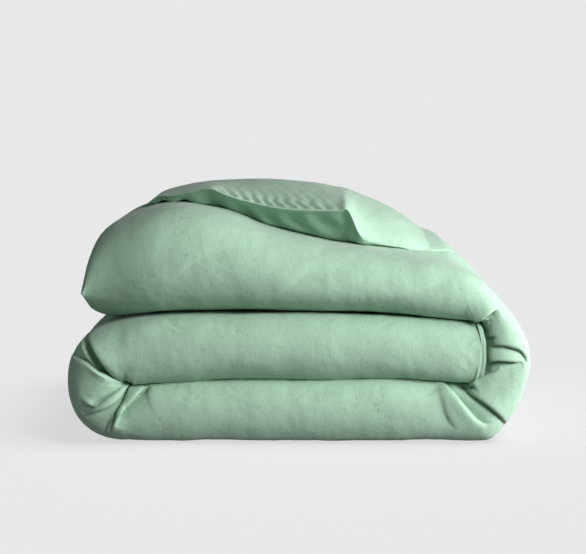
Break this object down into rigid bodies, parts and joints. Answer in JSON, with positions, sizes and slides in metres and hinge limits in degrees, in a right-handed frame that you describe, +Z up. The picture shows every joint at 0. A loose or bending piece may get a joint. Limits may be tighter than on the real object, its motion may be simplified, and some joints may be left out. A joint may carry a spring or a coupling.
{
  "type": "folded duvet",
  "caption": "Quilted duvet in a washed linen cover, folded lengthwise and then in thirds into a soft rectangular stack; the right fold and the top flap open out.",
  "frame": {"origin": "middle of the footprint, on the surface that the stack rests on", "axes": "+X towards the right fold that wraps round the tucked mouth, +Y away from the side seam of the flap, +Z up"},
  "size_m": [0.763, 0.58, 0.4178],
  "materials": {
    "linen": "washed",
    "cotton_ticking": "matt",
    "down_fill": "matt",
    "shell_button": "polished",
    "cotton_tape": "matt"
  },
  "bodies": {
    "base": {"button_1": "shell_button", "button_2": "shell_button", "button_3": "shell_button", "button_4": "shell_button", "button_5": "shell_button", "button_strip": "linen", "buttonhole_strip": "linen", "chamber_wall_bottom": "cotton_ticking", "chamber_wall_high_left": "cotton_ticking", "chamber_wall_low_left": "cotton_ticking", "chamber_wall_middle": "cotton_ticking", "cover_bottom_third": "linen", "cover_left_fold": "linen", "cover_middle_third": "linen", "fill_bottom_left": "down_fill", "fill_bottom_right": "down_fill", "fill_left_fold": "down_fill", "fill_middle_left": "down_fill", "fill_middle_right": "down_fill", "mouth_hem": "linen", "ticking_bottom_third": "cotton_ticking", "ticking_left_fold": "cotton_ticking", "ticking_middle_third": "cotton_ticking", "tie_mouth_back": "cotton_tape", "tie_mouth_front": "cotton_tape"},
    "right_fold": {"cover_right_fold": "linen", "fill_right_fold": "down_fill", "ticking_right_fold": "cotton_ticking"},
    "top_third": {"chamber_wall_top": "cotton_ticking", "cover_top_third": "linen", "fill_top_left": "down_fill", "fill_top_right": "down_fill", "head_seam": "linen", "ticking_top_third": "cotton_ticking", "tie_head": "cotton_tape"},
    "top_flap": {"cover_flap": "linen", "fill_flap": "down_fill", "side_seam": "linen", "ticking_flap": "cotton_ticking"}
  },
  "joints": [
    {"name": "fold_open", "type": "hinge", "parent": "base", "child": "right_fold", "pos_m": [0.339, 0, 0], "axis": [0, 1, 0], "range_deg": [0, 66]},
    {"name": "top_open", "type": "hinge", "parent": "right_fold", "child": "top_third", "pos_m": [0.3, 0, 0.2782], "axis": [0, 1, 0], "range_deg": [0, 113]},
    {"name": "flap_open", "type": "hinge", "parent": "top_third", "child": "top_flap", "pos_m": [0, 0.295, 0.3502], "axis": [-1, 0, 0], "range_deg": [0, 180]}
  ],
  "couplings": [
    {"joint": "top_open", "follows": "fold_open", "ratio": 1.71}
  ]
}
